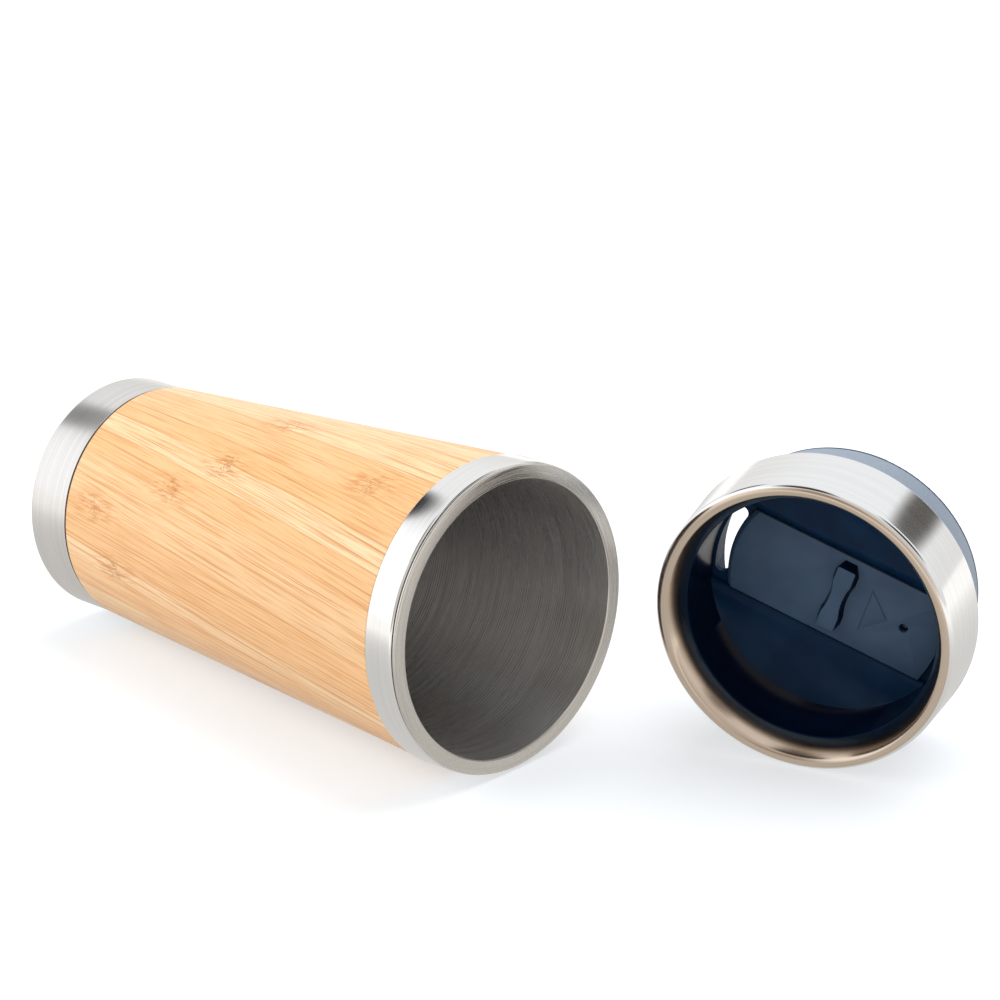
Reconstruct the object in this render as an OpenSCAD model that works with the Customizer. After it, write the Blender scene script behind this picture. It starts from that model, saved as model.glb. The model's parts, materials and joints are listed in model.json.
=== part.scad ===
// Bamboo-sleeved steel travel mug lying on its side, its lid standing on edge beside it.
// Lengths are in millimetres. Each piece is drawn upright in its own assembly and then laid down.

/* [Mug] */
// Height of the mug from its foot to its rim
mug_h = 163; // [150:1:180]
// Outer radius of the polished collar at its lower edge
collar_r = 43.3; // [41:0.1:46]
// Width of the steel lip from the mouth to its outer edge
lip_w = 4.25; // [4:0.05:5]
// Outer radius of the steel band at the foot
band_r = 34.7; // [32:0.1:36]
// Height of the steel band at the foot
band_h = 16.2; // [14:0.1:20]

/* [Lid] */
// How far the lid's ring stays inside the collar's outer radius
ring_inset = 0.37; // [0.2:0.01:1]
// How much the ring narrows up to its rolled bead
ring_taper = 0.82; // [0.5:0.01:1.2]
// Height of that bead's middle above the ring's lower edge
bead_z = 18.8; // [17:0.02:24]
// Depth of the well's floor below the ring's lower edge
floor_depth = 4.47; // [4.3:0.01:6]
// Gap between the plug and the mouth, closed by the gasket
plug_gap = 0.88; // [0.7:0.02:1.2]
// Wall between the plug's outside and the well's inside
plug_wall = 2.42; // [2.2:0.02:3]
// Length of the plug below the ring's lower edge
plug_len = 16.46; // [14:0.02:20]

/* [Slider] */
// Half of the slider's width
slider_half_w = 12.8; // [11.6:0.1:13.4]
// Height of the thumb tab above the slider
tab_h = 2.5; // [2:0.1:4]
// Radius of the air hole
vent_r = 1.3; // [1:0.1:1.6]
// Radius of the smaller air hole in the floor below it
floor_vent_r = 0.7; // [0.5:0.1:1]

/* [Arrangement] */
// How far ahead of the mouth the lid stands, beyond the collar's radius
lid_ahead = 6.42; // [6:0.01:30]
// How far beside the mug the lid stands, beyond the collar's radius
lid_beside = 29.07; // [27:0.01:50]
// Compass turn of the lid's top, counted from the mug's long way
lid_turn = -69.42; // [-72:0.01:-64]
// Turn of the slider's channel in the lid
channel_turn = 71.25; // [60:0.05:90]

/* [Hidden] */
$fn = 144;

// Sheet metal, fits and edges
wall_t = 0.5;
band_t = 0.6;
slip_gap = 0.25;
run_gap = 0.3;
cut_more = 1;

// Collar around the bamboo's upper end
collar_drop = 1.4;
collar_h = 9.3;
collar_taper = 0.175;
collar_hem_w = 1.225;
collar_edge_e = 0.7;
collar_top_z = mug_h - collar_drop;
collar_z = collar_top_z - collar_h;
collar_top_r = collar_r - collar_taper;
collar_hem_r = collar_top_r - collar_hem_w;

// Rolled lip of the liner
lip_t = 1;
lip_edge_e = 0.5;
rim_r = collar_top_r - slip_gap / 2;
mouth_r = rim_r - lip_w;

// Outer shell of the flask, welded to the liner's neck
shell_z = 8.5;
shell_in_w = 4;
vacuum_w = 1.75;
weld_drop = 4;
weld_h = 2;
shell_turn_h = 2;
shell_straight_h = 5;
shell_foot_r = band_r - shell_in_w;
shell_head_r = mouth_r + vacuum_w;
shell_end_z = mug_h - weld_drop;
shell_weld_z = shell_end_z - weld_h;
shell_turn_z = shell_weld_z - shell_turn_h;
shell_head_z = shell_turn_z - shell_straight_h;
weld_r = mouth_r + wall_t;

// Inner liner: a drawn cup with a tapered wall and a straight neck
floor_gap = 5.5;
floor_in_w = 7.2;
liner_corner_e = 7;
neck_h = 17;
liner_floor_z = shell_z + floor_gap;
liner_floor_r = band_r - floor_in_w;
neck_z = mug_h - neck_h;
liner_lean = atan((mouth_r - liner_floor_r) / (neck_z - liner_floor_z - liner_corner_e));

// Disc that closes the shell, its dimple and what sits on it
disc_flange_h = 3;
dimple_r = 4;
dimple_h = 1.2;
dimple_hole_r = 1;
vacuum_seal_r = 2.5;
vacuum_seal_h = 0.8;
getter_r = 6;
getter_h = 1.6;
getter_off = 14;

// Bamboo sleeve between collar and foot band
shoulder_gap = 0.3;
shoulder_in_w = 0.35;
spigot_gap = 0.3;
spigot_drop = 3.1;
sleeve_e = 0.3;
sleeve_step = 0.2;
sleeve_gap = 0.15;
shoulder_z = collar_z - shoulder_gap;
shoulder_r = collar_r - shoulder_in_w;
spigot_r = collar_r - wall_t - spigot_gap;
spigot_z = collar_top_z - spigot_drop;
sleeve_low_r = band_r + sleeve_step;
sleeve_foot_z = shell_z + run_gap;
sleeve_foot_r = band_r - band_t - sleeve_gap;

// Dark seal between band and bamboo, and the one under the lip
base_seal_h = 0.6;
base_seal_gap = 0.05;
rim_seal_in_w = 0.65;
base_seal_in_r = sleeve_foot_r + base_seal_gap;
base_seal_out_r = band_r - slip_gap;
rim_seal_in_r = weld_r + rim_seal_in_w;
rim_seal_out_r = collar_hem_r - slip_gap;

// Foot cup and the insert that carries the flask
foot_edge_e = 1.6;
foot_ring_w = 7.7;
foot_step = 1.5;
foot_bevel = 1.4;
insert_gap = 0.3;
insert_web_t = 1;
insert_hole_r = 7;
insert_chamfer = 1.3;
foot_in_r = band_r - foot_ring_w;
insert_out_r = band_r - band_t - insert_gap;
insert_in_r = foot_in_r + band_t;

// Plug and well, from the mouth inwards
well_drop = 0.4;
well_draft = 0.9;
flange_gap = 0.33;
flange_t = 2;
skirt_t = 1.97;
plug_edge_e = 0.5;
plug_r = mouth_r - plug_gap;
well_r = plug_r - plug_wall;
skirt_in_r = plug_r - skirt_t;
well_rim_r = plug_r - well_draft;

// Lid ring's sheet, then the gasket that covers the plug, with two lips and a relief under them
ring_t = 0.6;
gasket_t = 0.87;
gasket_lip_w = 1.23;
gasket_h = 16;
gasket_lip_t = 0.6;
gasket_pitch = 2;
gasket_relief_w = 0.37;
gasket_relief_h = 1.2;
gasket_in_r = plug_r - gasket_t;
gasket_lip_r = plug_r + gasket_lip_w;
gasket_foot_z = ring_t - gasket_h;
gasket_relief_z = ring_t - 2 * gasket_pitch;

// Lid ring: its bead, and the curved funnel that runs on from it
bead_e = 2;
hem_gap = 1.3;
funnel_h = 4.84;
funnel_curve = 17.5;
lip_over = 0.19;
ring_r = collar_r - ring_inset;
ring_top_r = ring_r - ring_taper;
hem_r = gasket_lip_r + hem_gap;
flange_r = ring_r - ring_t - flange_gap;
lip_r = well_r + lip_over;
lip_z = bead_z - funnel_h;
well_top_z = lip_z - well_drop;
bead_mid_r = ring_top_r - bead_e;
funnel_run = sqrt(pow(bead_mid_r - lip_r, 2) + pow(funnel_h, 2));
funnel_lean = atan2(funnel_h, bead_mid_r - lip_r);
funnel_reach = pow(funnel_curve, 2) - pow(funnel_curve - bead_e, 2) + pow(funnel_run, 2);
funnel_off = funnel_reach / (2 * funnel_run);
funnel_side = sqrt(pow(funnel_curve, 2) - pow(funnel_off, 2));

// Floor of the well and the slider's channel in it
channel_gap = 0.5;
channel_depth = 1.4;
floor_t = 1.8;
channel_half_w = slider_half_w + channel_gap;
floor_z = -floor_depth;
channel_z = floor_z - channel_depth;
under_z = channel_z - floor_t;

// Curved drinking slot
slot_margin = 0.75;
slot_w = 3.8;
slot_half_l = 10.8;
slot_out_r = well_r - slot_margin;
slot_in_r = slot_out_r - slot_w;
slot_mid_r = (slot_out_r + slot_in_r) / 2;
slot_end_e = slot_w / 2;
slot_turn = asin((slot_half_l - slot_end_e) / slot_mid_r);

// Slider and how far it runs either way
proud_h = 0.6;
slider_margin = 2.65;
slider_right_curve = 45;
slider_corner_e = 1.5;
slider_bevel_w = 1.2;
slider_bevel_h = 0.9;
close_run = 4.5;
open_run = 1.7;
vent_in_u = 10.9;
slider_z = channel_z + run_gap;
slider_top_z = floor_z + proud_h;
slider_left_r = slot_in_r - run_gap;
slider_right_u = well_r - slider_margin;
corner_u = sqrt(pow(slider_left_r - slider_corner_e, 2) - pow(slider_half_w - slider_corner_e, 2));
corner_v = (slider_half_w - slider_corner_e) * slider_left_r / (slider_left_r - slider_corner_e);
vent_u = slider_right_u - vent_in_u;

// Thumb tab with a waist and pointed ends
tab_u = 2.05;
tab_half_l = 9.8;
tab_half_w = 2.6;
tab_waist_half_w = 1.85;
tab_waist_curve = 18;
tab_side_draft = 0.75;
tab_end_draft = 1.5;
tab_tip_half_w = 0.8;
tab_tip_l = 4;
tab_root = 0.5;
tab_root_share = (tab_h + tab_root) / tab_h;

// Arrow pressed into the slider, between the tab and the air hole
arrow_gap = 4.7;
arrow_l = 6.9;
arrow_half_w = 6.9;
arrow_inset = 0.45;
arrow_depth = 0.3;
arrow_tip_u = vent_u - arrow_gap;
arrow_base_u = arrow_tip_u - arrow_l;

// Clip that holds the slider down from below
clip_half_u = 3;
clip_half_v = 4.5;
clip_plate_half_u = 6;
clip_plate_half_v = 10;
clip_plate_t = 1.5;
clip_peg_inset = 0.5;
clip_peg_h = 1;
clip_fit = 0.1;

// How the two assemblies rest on the floor
mug_lean = atan((collar_r - band_r) / (collar_z - foot_edge_e));
mug_lift = band_r * cos(mug_lean) - foot_edge_e * sin(mug_lean);
lid_lean = atan((ring_r - ring_top_r) / bead_z);
lid_lift = ring_r * cos(lid_lean);
lid_x = collar_r + lid_ahead;
lid_y = collar_r + lid_beside;
face_x_share = cos(lid_lean) * cos(lid_turn);
face_y_share = cos(lid_lean) * sin(lid_turn);
x_low = (foot_edge_e - mug_h) * cos(mug_lean) - (band_r - foot_edge_e) * sin(mug_lean) - foot_edge_e;
x_high = lid_x + bead_z * face_x_share + bead_mid_r * sqrt(1 - pow(face_x_share, 2)) + bead_e;
y_low = -collar_r;
y_high = lid_y - plug_len * face_y_share + plug_r * sqrt(1 - pow(face_y_share, 2));
shift_x = -(x_low + x_high) / 2;
shift_y = -(y_low + y_high) / 2;

// Lays an upright piece of the mug on its side
module lay_mug() {
    translate([shift_x - mug_h * cos(mug_lean), shift_y, mug_lift])
        rotate([0, 90 - mug_lean, 0])
            children();
}

// Stands an upright piece of the lid on its edge
module stand_lid() {
    translate([lid_x + shift_x, lid_y + shift_y, lid_lift])
        rotate([0, 90 + lid_lean, lid_turn])
            rotate([0, 0, channel_turn])
                children();
}

// A ring with a plain section
module plain_ring(in_r, out_r, low_z, high_z) {
    rotate_extrude()
        polygon([[in_r, low_z], [out_r, low_z], [out_r, high_z], [in_r, high_z]]);
}

// A block centred on the channel's middle line
module block(low_u, high_u, half_v, low_z, high_z) {
    translate([low_u, -half_v, low_z])
        cube([high_u - low_u, 2 * half_v, high_z - low_z]);
}

// Section of the drawn cup out to one of its two faces
module cup_section(face, top_z) {
    mid = [liner_floor_r - liner_corner_e, liner_floor_z + liner_corner_e];
    e = liner_corner_e + face;
    turn_point = [mid[0] + e * cos(liner_lean), mid[1] - e * sin(liner_lean)];
    polygon([[0, mid[1] - e], [mid[0], mid[1] - e], mid, turn_point,
        [mouth_r + face, neck_z], [mouth_r + face, top_z], [0, top_z]]);
    translate(mid)
        circle(e);
}

// Rolled lip around the mouth
module lip_section() {
    low_z = mug_h - lip_t;
    edge_z = mug_h - lip_edge_e;
    nose_r = rim_r - lip_t / 2;
    polygon([[mouth_r, low_z], [nose_r, low_z], [nose_r, mug_h], [mouth_r + lip_edge_e, mug_h],
        [mouth_r + lip_edge_e, edge_z], [mouth_r, edge_z]]);
    translate([nose_r, mug_h - lip_t / 2])
        circle(lip_t / 2);
    translate([mouth_r + lip_edge_e, edge_z])
        circle(lip_edge_e);
}

module inner_liner() {
    color([0.74, 0.73, 0.71])
        lay_mug()
            rotate_extrude() {
                difference() {
                    cup_section(wall_t, mug_h - lip_t / 2);
                    cup_section(0, mug_h + cut_more);
                }
                lip_section();
            }
}

module outer_shell() {
    color([0.7, 0.7, 0.7])
        lay_mug()
            rotate_extrude()
                polygon([[shell_foot_r - wall_t, shell_z], [shell_foot_r, shell_z],
                    [shell_head_r, shell_head_z], [shell_head_r, shell_turn_z],
                    [weld_r + wall_t, shell_weld_z], [weld_r + wall_t, shell_end_z],
                    [weld_r, shell_end_z], [weld_r, shell_weld_z],
                    [shell_head_r - wall_t, shell_turn_z], [shell_head_r - wall_t, shell_head_z]]);
}

module shell_bottom() {
    edge_r = shell_foot_r - wall_t;
    flat_z = shell_z + wall_t;
    color([0.7, 0.7, 0.7])
        lay_mug()
            rotate_extrude()
                polygon([[dimple_hole_r, shell_z + dimple_h], [dimple_r, shell_z + dimple_h],
                    [dimple_r + dimple_h, shell_z], [edge_r, shell_z], [edge_r, shell_z + disc_flange_h],
                    [edge_r - wall_t, shell_z + disc_flange_h], [edge_r - wall_t, flat_z],
                    [dimple_r + dimple_h, flat_z], [dimple_r, flat_z + dimple_h],
                    [dimple_hole_r, flat_z + dimple_h]]);
}

module getter() {
    color([0.55, 0.55, 0.57])
        lay_mug()
            translate([getter_off, 0, shell_z + wall_t])
                cylinder(h = getter_h, r = getter_r);
}

module vacuum_seal() {
    color([0.3, 0.32, 0.3])
        lay_mug()
            translate([0, 0, shell_z + dimple_h - vacuum_seal_h])
                cylinder(h = vacuum_seal_h, r = vacuum_seal_r);
}

module bamboo_sleeve() {
    low_z = band_h + base_seal_h;
    color([0.93, 0.74, 0.48])
        lay_mug()
            rotate_extrude()
                polygon([[shell_foot_r + slip_gap, sleeve_foot_z], [sleeve_foot_r - sleeve_e, sleeve_foot_z],
                    [sleeve_foot_r, sleeve_foot_z + sleeve_e], [sleeve_foot_r, low_z],
                    [sleeve_low_r - sleeve_e, low_z], [sleeve_low_r, low_z + sleeve_e],
                    [shoulder_r, shoulder_z - sleeve_e], [shoulder_r - sleeve_e, shoulder_z],
                    [spigot_r, shoulder_z], [spigot_r, spigot_z - sleeve_e], [spigot_r - sleeve_e, spigot_z],
                    [shell_head_r + slip_gap, spigot_z], [shell_head_r + slip_gap, shell_head_z]]);
}

module rim_collar() {
    bend = [collar_top_r - collar_edge_e, collar_top_z - collar_edge_e];
    color([0.9, 0.9, 0.9])
        lay_mug()
            rotate_extrude()
                difference() {
                    union() {
                        polygon([[collar_r, collar_z], [collar_top_r, bend[1]], bend, [bend[0], collar_top_z],
                            [collar_hem_r, collar_top_z], [collar_hem_r, collar_z]]);
                        translate(bend)
                            circle(collar_edge_e);
                    }
                    polygon([[collar_hem_r - cut_more, collar_z - cut_more],
                        [collar_r - wall_t, collar_z - cut_more], [collar_r - wall_t, collar_z],
                        [collar_top_r - wall_t, bend[1]], bend, [bend[0], collar_top_z - wall_t],
                        [collar_hem_r - cut_more, collar_top_z - wall_t]]);
                    translate(bend)
                        circle(collar_edge_e - wall_t);
                }
}

module rim_seal() {
    color([0.15, 0.15, 0.15])
        lay_mug()
            plain_ring(rim_seal_in_r, rim_seal_out_r, spigot_z, mug_h - lip_t);
}

module base_seal() {
    color([0.28, 0.18, 0.12])
        lay_mug()
            plain_ring(base_seal_in_r, base_seal_out_r, band_h, band_h + base_seal_h);
}

module base_insert() {
    color([0.16, 0.16, 0.17])
        lay_mug()
            rotate_extrude()
                polygon([[insert_in_r, band_t], [insert_out_r - insert_chamfer, band_t],
                    [insert_out_r, band_t + insert_chamfer], [insert_out_r, shell_z],
                    [insert_hole_r, shell_z], [insert_hole_r, shell_z - insert_web_t],
                    [insert_in_r, shell_z - insert_web_t]]);
}

module base_cup() {
    bend = [band_r - foot_edge_e, foot_edge_e];
    in_r = foot_in_r - foot_bevel;
    color([0.76, 0.75, 0.73])
        lay_mug()
            rotate_extrude()
                difference() {
                    union() {
                        polygon([[0, foot_step], [in_r, foot_step], [foot_in_r, 0], [bend[0], 0], bend,
                            [band_r, bend[1]], [band_r, band_h], [0, band_h]]);
                        translate(bend)
                            circle(foot_edge_e);
                    }
                    polygon([[0, foot_step + band_t], [in_r + band_t / 2, foot_step + band_t],
                        [foot_in_r + band_t / 2, band_t], [bend[0], band_t], bend,
                        [band_r - band_t, bend[1]], [band_r - band_t, band_h + cut_more],
                        [0, band_h + cut_more]]);
                    translate(bend)
                        circle(foot_edge_e - band_t);
                }
}

// The sliver between the funnel's curve and its chord, for one face of the sheet
module funnel_bulge(lip, top, hub, curve) {
    far_share = 1 + cut_more / curve;
    intersection() {
        translate(hub)
            circle(curve);
        polygon([lip, top, hub + far_share * (top - hub), hub + far_share * (lip - hub)]);
    }
}

module lid_ring() {
    along = [cos(funnel_lean), sin(funnel_lean)];
    aside = [along[1], -along[0]];
    lip = [lip_r, lip_z];
    mid = [bead_mid_r, bead_z];
    hub = lip + funnel_off * along + funnel_side * aside;
    top = hub + funnel_curve / (funnel_curve - bead_e) * (mid - hub);
    thin_share = (funnel_curve - ring_t) / funnel_curve;
    under_lip = hub + thin_share * (lip - hub);
    under_top = hub + thin_share * (top - hub);
    color([0.86, 0.86, 0.85])
        stand_lid()
            rotate_extrude()
                difference() {
                    union() {
                        polygon([lip, under_lip, [hem_r, ring_t], [hem_r, 0], [ring_r, 0],
                            [ring_top_r, bead_z], mid, top]);
                        translate(mid)
                            circle(bead_e);
                        funnel_bulge(lip, top, hub, funnel_curve);
                    }
                    polygon([under_lip, [hem_r, ring_t], [ring_r - ring_t, ring_t],
                        [ring_top_r - ring_t, bead_z], mid, under_top]);
                    translate(mid)
                        circle(bead_e - ring_t);
                    funnel_bulge(under_lip, under_top, hub, funnel_curve - ring_t);
                }
}

// The well, its flange and the plug's skirt as one moulding, before anything is cut
module well_body() {
    edge_mid = [plug_r - plug_edge_e, plug_edge_e - plug_len];
    rotate_extrude() {
        polygon([[0, under_z], [skirt_in_r, under_z], [skirt_in_r, -plug_len], [edge_mid[0], -plug_len],
            edge_mid, [plug_r, edge_mid[1]], [plug_r, gasket_foot_z], [gasket_in_r, gasket_foot_z],
            [gasket_in_r, ring_t], [flange_r, ring_t], [flange_r, ring_t + flange_t],
            [plug_r, ring_t + flange_t], [well_rim_r, well_top_z], [well_r, well_top_z],
            [well_r, floor_z], [0, floor_z]]);
        translate(edge_mid)
            circle(plug_edge_e);
    }
}

// Outline of the curved drinking slot
module slot_outline() {
    far = 2 * slot_out_r;
    intersection() {
        difference() {
            circle(slot_out_r);
            circle(slot_in_r);
        }
        polygon([[0, 0], [-far * cos(slot_turn), far * sin(slot_turn)],
            [-far * cos(slot_turn), -far * sin(slot_turn)]]);
    }
    for (side = [-1, 1])
        translate([-slot_mid_r * cos(slot_turn), side * slot_mid_r * sin(slot_turn)])
            circle(slot_end_e);
}

module lid_well() {
    color([0.12, 0.14, 0.19])
        stand_lid()
            difference() {
                well_body();
                intersection() {
                    cylinder(h = 2 * plug_len, r = well_r, center = true);
                    block(-plug_r, plug_r, channel_half_w, channel_z, floor_z + cut_more);
                }
                translate([0, 0, under_z - cut_more])
                    linear_extrude(channel_z - under_z + 2 * cut_more)
                        slot_outline();
                translate([vent_u, 0, under_z - cut_more])
                    cylinder(h = floor_t + 2 * cut_more, r = floor_vent_r);
                block(tab_u - clip_half_u - close_run - run_gap, tab_u + clip_half_u + open_run + run_gap,
                    clip_half_v + run_gap, under_z - cut_more, channel_z + cut_more);
            }
}

// One sealing lip of the gasket, hanging from the height given and sloping back to the plug above
module gasket_lip(top_z) {
    low_z = top_z - gasket_pitch;
    polygon([[gasket_in_r, low_z], [gasket_lip_r, low_z], [gasket_lip_r, low_z + gasket_lip_t],
        [plug_r, top_z], [gasket_in_r, top_z]]);
}

module lid_gasket() {
    relief_foot_z = gasket_relief_z - gasket_relief_h;
    relief_r = plug_r - gasket_relief_w;
    color([0.55, 0.6, 0.66])
        stand_lid()
            rotate_extrude() {
                polygon([[gasket_in_r, gasket_foot_z], [plug_r, gasket_foot_z], [plug_r, relief_foot_z],
                    [relief_r, gasket_relief_z], [gasket_in_r, gasket_relief_z]]);
                for (turn = [0, 1])
                    gasket_lip(ring_t - turn * gasket_pitch);
            }
}

// Outline of the slider, its left end round the lid's middle and its right end flatter
module slider_outline() {
    side_v = slider_half_w - slider_corner_e;
    intersection() {
        circle(slider_left_r);
        polygon([[-plug_r, -corner_v], [0, -corner_v], [0, corner_v], [-plug_r, corner_v]]);
    }
    polygon([[-corner_u, -slider_half_w], [cut_more, -slider_half_w], [cut_more, slider_half_w],
        [-corner_u, slider_half_w]]);
    for (side = [-1, 1])
        translate([-corner_u, side * side_v])
            circle(slider_corner_e);
    intersection() {
        translate([slider_right_u - slider_right_curve, 0])
            circle(slider_right_curve);
        polygon([[0, -slider_half_w], [plug_r, -slider_half_w], [plug_r, slider_half_w], [0, slider_half_w]]);
    }
}

// Ring that bevels the slider's left end
module slider_bevel() {
    far_r = slider_left_r + cut_more;
    high_z = slider_top_z + cut_more;
    intersection() {
        rotate_extrude()
            polygon([[slider_left_r - slider_bevel_w, slider_top_z],
                [slider_left_r, slider_top_z - slider_bevel_h], [far_r, slider_top_z - slider_bevel_h],
                [far_r, high_z], [slider_left_r - slider_bevel_w, high_z]]);
        block(-2 * slider_left_r, -corner_u + slider_corner_e, slider_left_r, slider_z, high_z);
    }
}

// Thumb tab, wider at its root than at its top on every side
module thumb_tab() {
    side_w = tab_half_w + tab_side_draft * tab_root_share;
    end_l = tab_half_l + tab_end_draft * tab_root_share;
    tip_w = tab_tip_half_w + tab_side_draft;
    body_l = end_l - tab_tip_l;
    rise = tab_h + tab_root;
    translate([tab_u, 0, slider_top_z - tab_root])
        difference() {
            intersection() {
                rotate([90, 0, 0])
                    linear_extrude(2 * end_l, center = true)
                        polygon([[-side_w, 0], [side_w, 0], [tab_half_w, rise], [-tab_half_w, rise]]);
                rotate([90, 0, 90])
                    linear_extrude(2 * side_w, center = true)
                        polygon([[-end_l, 0], [end_l, 0], [tab_half_l, rise], [-tab_half_l, rise]]);
                linear_extrude(rise)
                    polygon([[-tip_w, end_l], [-side_w, body_l], [-side_w, -body_l], [-tip_w, -end_l],
                        [tip_w, -end_l], [side_w, -body_l], [side_w, body_l], [tip_w, end_l]]);
            }
            for (side = [-1, 1])
                translate([side * (tab_waist_half_w + tab_waist_curve), 0, 0])
                    cylinder(h = rise, r1 = tab_waist_curve - tab_side_draft * tab_root_share,
                        r2 = tab_waist_curve);
        }
}

// Plain arrow head, three pressed lines
module arrow_groove() {
    slope_share = arrow_half_w / (arrow_tip_u - arrow_base_u);
    inner_base_u = arrow_base_u + arrow_inset;
    inner_tip_u = arrow_tip_u - arrow_inset * sqrt(1 + 1 / pow(slope_share, 2));
    inner_half_w = (inner_tip_u - inner_base_u) * slope_share;
    translate([0, 0, slider_top_z - arrow_depth])
        linear_extrude(arrow_depth + cut_more)
            difference() {
                polygon([[arrow_base_u, -arrow_half_w], [arrow_tip_u, 0], [arrow_base_u, arrow_half_w]]);
                polygon([[inner_base_u, -inner_half_w], [inner_tip_u, 0], [inner_base_u, inner_half_w]]);
            }
}

module slider() {
    peg_u = clip_half_u - clip_peg_inset + clip_fit;
    peg_v = clip_half_v - clip_peg_inset + clip_fit;
    color([0.14, 0.16, 0.21])
        stand_lid()
            difference() {
                union() {
                    translate([0, 0, slider_z])
                        linear_extrude(slider_top_z - slider_z)
                            slider_outline();
                    thumb_tab();
                }
                slider_bevel();
                translate([vent_u, 0, slider_z - cut_more])
                    cylinder(h = slider_top_z - slider_z + 2 * cut_more, r = vent_r);
                arrow_groove();
                block(tab_u - peg_u, tab_u + peg_u, peg_v, slider_z - cut_more,
                    slider_z + clip_peg_h + clip_fit);
            }
}

module slider_clip() {
    peg_u = clip_half_u - clip_peg_inset;
    plate_z = under_z - run_gap;
    color([0.1, 0.11, 0.14])
        stand_lid()
            union() {
                block(tab_u - clip_plate_half_u, tab_u + clip_plate_half_u, clip_plate_half_v,
                    plate_z - clip_plate_t, plate_z);
                block(tab_u - clip_half_u, tab_u + clip_half_u, clip_half_v, plate_z - clip_plate_t / 2, slider_z);
                block(tab_u - peg_u, tab_u + peg_u, clip_half_v - clip_peg_inset,
                    plate_z, slider_z + clip_peg_h);
            }
}

inner_liner();
outer_shell();
shell_bottom();
getter();
vacuum_seal();
bamboo_sleeve();
rim_collar();
rim_seal();
base_seal();
base_insert();
base_cup();
lid_ring();
lid_well();
lid_gasket();
slider();
slider_clip();
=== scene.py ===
"""Insulated travel mug: a steel flask in a bamboo sleeve on its side, its lid standing on edge beside it.

Each sub-assembly is built in its own upright frame in millimetres, then laid into the CAD model's frame.
"""

import json
import logging
import math
from dataclasses import dataclass
from enum import Enum
from typing import Sequence

import bmesh
import bpy
from bpy.types import Material, Node, NodeSocket, NodeTree, Object
from mathutils import Matrix, Vector


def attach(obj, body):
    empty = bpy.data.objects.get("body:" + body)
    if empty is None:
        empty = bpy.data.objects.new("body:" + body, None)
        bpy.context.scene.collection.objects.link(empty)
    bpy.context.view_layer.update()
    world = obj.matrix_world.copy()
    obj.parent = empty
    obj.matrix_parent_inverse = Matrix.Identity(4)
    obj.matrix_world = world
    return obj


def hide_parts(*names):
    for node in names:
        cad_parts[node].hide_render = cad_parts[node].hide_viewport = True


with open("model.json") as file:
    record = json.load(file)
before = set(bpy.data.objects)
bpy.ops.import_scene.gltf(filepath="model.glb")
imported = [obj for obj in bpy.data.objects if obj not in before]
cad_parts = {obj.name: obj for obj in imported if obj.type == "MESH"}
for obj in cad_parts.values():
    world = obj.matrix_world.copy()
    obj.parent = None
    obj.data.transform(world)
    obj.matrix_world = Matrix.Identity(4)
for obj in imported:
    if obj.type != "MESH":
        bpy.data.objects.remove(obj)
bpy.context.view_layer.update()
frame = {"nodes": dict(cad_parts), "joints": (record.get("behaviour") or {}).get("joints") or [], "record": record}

log = logging.getLogger("mug")

MM = 0.001
TURN_STEPS = 256
SHARP_EDGE = math.radians(32)
FLAT_EDGE = math.radians(0.4)
MERGE_MM = 0.002
WELD_MM = 1e-4
SLACK_MM = 1.0
ARC_STEP_DEGREES = 9
WHITE = "#FFFFFF"
MIX_SHARE, MIX_FIRST, MIX_SECOND = 0, 6, 7
SMOOTH = {"interpolation_type": "SMOOTHSTEP"}

Sockets = dict[str | int, object]


def linear(hex_colour: str) -> tuple[float, float, float, float]:
    """Turns an sRGB hex colour into linear light.

    Args:
        hex_colour: Six hex digits with a leading hash.

    Returns:
        Red, green, blue and an alpha of one.
    """
    shares = [int(hex_colour[i : i + 2], 16) / 255 for i in (1, 3, 5)]
    light = [s / 12.92 if s <= 0.04045 else ((s + 0.055) / 1.055) ** 2.4 for s in shares]
    return (*light, 1.0)


def feed(tree: NodeTree, node: Node, sockets: Sockets) -> None:
    """Fills the inputs of a node.

    Args:
        tree: Node tree of a material or of the world.
        node: Node to fill.
        sockets: What goes into each input, by name or index: a value, an output socket, or another
            node, which stands for the first of its outputs in use.
    """
    for name, value in sockets.items():
        if isinstance(value, Node):
            value = next(output for output in value.outputs if output.enabled)
        if isinstance(value, NodeSocket):
            tree.links.new(value, node.inputs[name])
        else:
            node.inputs[name].default_value = value


def add(tree: NodeTree, kind: str, sockets: Sockets | None = None, **settings: object) -> Node:
    """Adds one node with its settings and links.

    Args:
        tree: Node tree of a material or of the world.
        kind: Node type.
        sockets: What goes into each input, as feed takes it.
        **settings: Properties of the node itself.

    Returns:
        The new node.
    """
    node = tree.nodes.new(kind)
    for name, value in settings.items():
        setattr(node, name, value)
    feed(tree, node, sockets or {})
    return node


def blend(share: object, first: object, second: object) -> Sockets:
    """Inputs of a Mix node that lays a second colour over a first one by a share."""
    return {MIX_SHARE: share, MIX_FIRST: first, MIX_SECOND: second}


@dataclass(frozen=True)
class Fade:
    """How a pattern becomes a share: where it starts and ends, and the shares at both ends."""

    start: float
    end: float
    low: float = 0.0
    high: float = 1.0

    def over(self, pattern: object) -> Sockets:
        """Inputs of a Map Range node that fades a pattern.

        Args:
            pattern: Value or node to fade.

        Returns:
            The pattern, its two limits and the two shares, by input.
        """
        return {
            "Value": pattern,
            "From Min": self.start,
            "From Max": self.end,
            "To Min": self.low,
            "To Max": self.high,
        }


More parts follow.
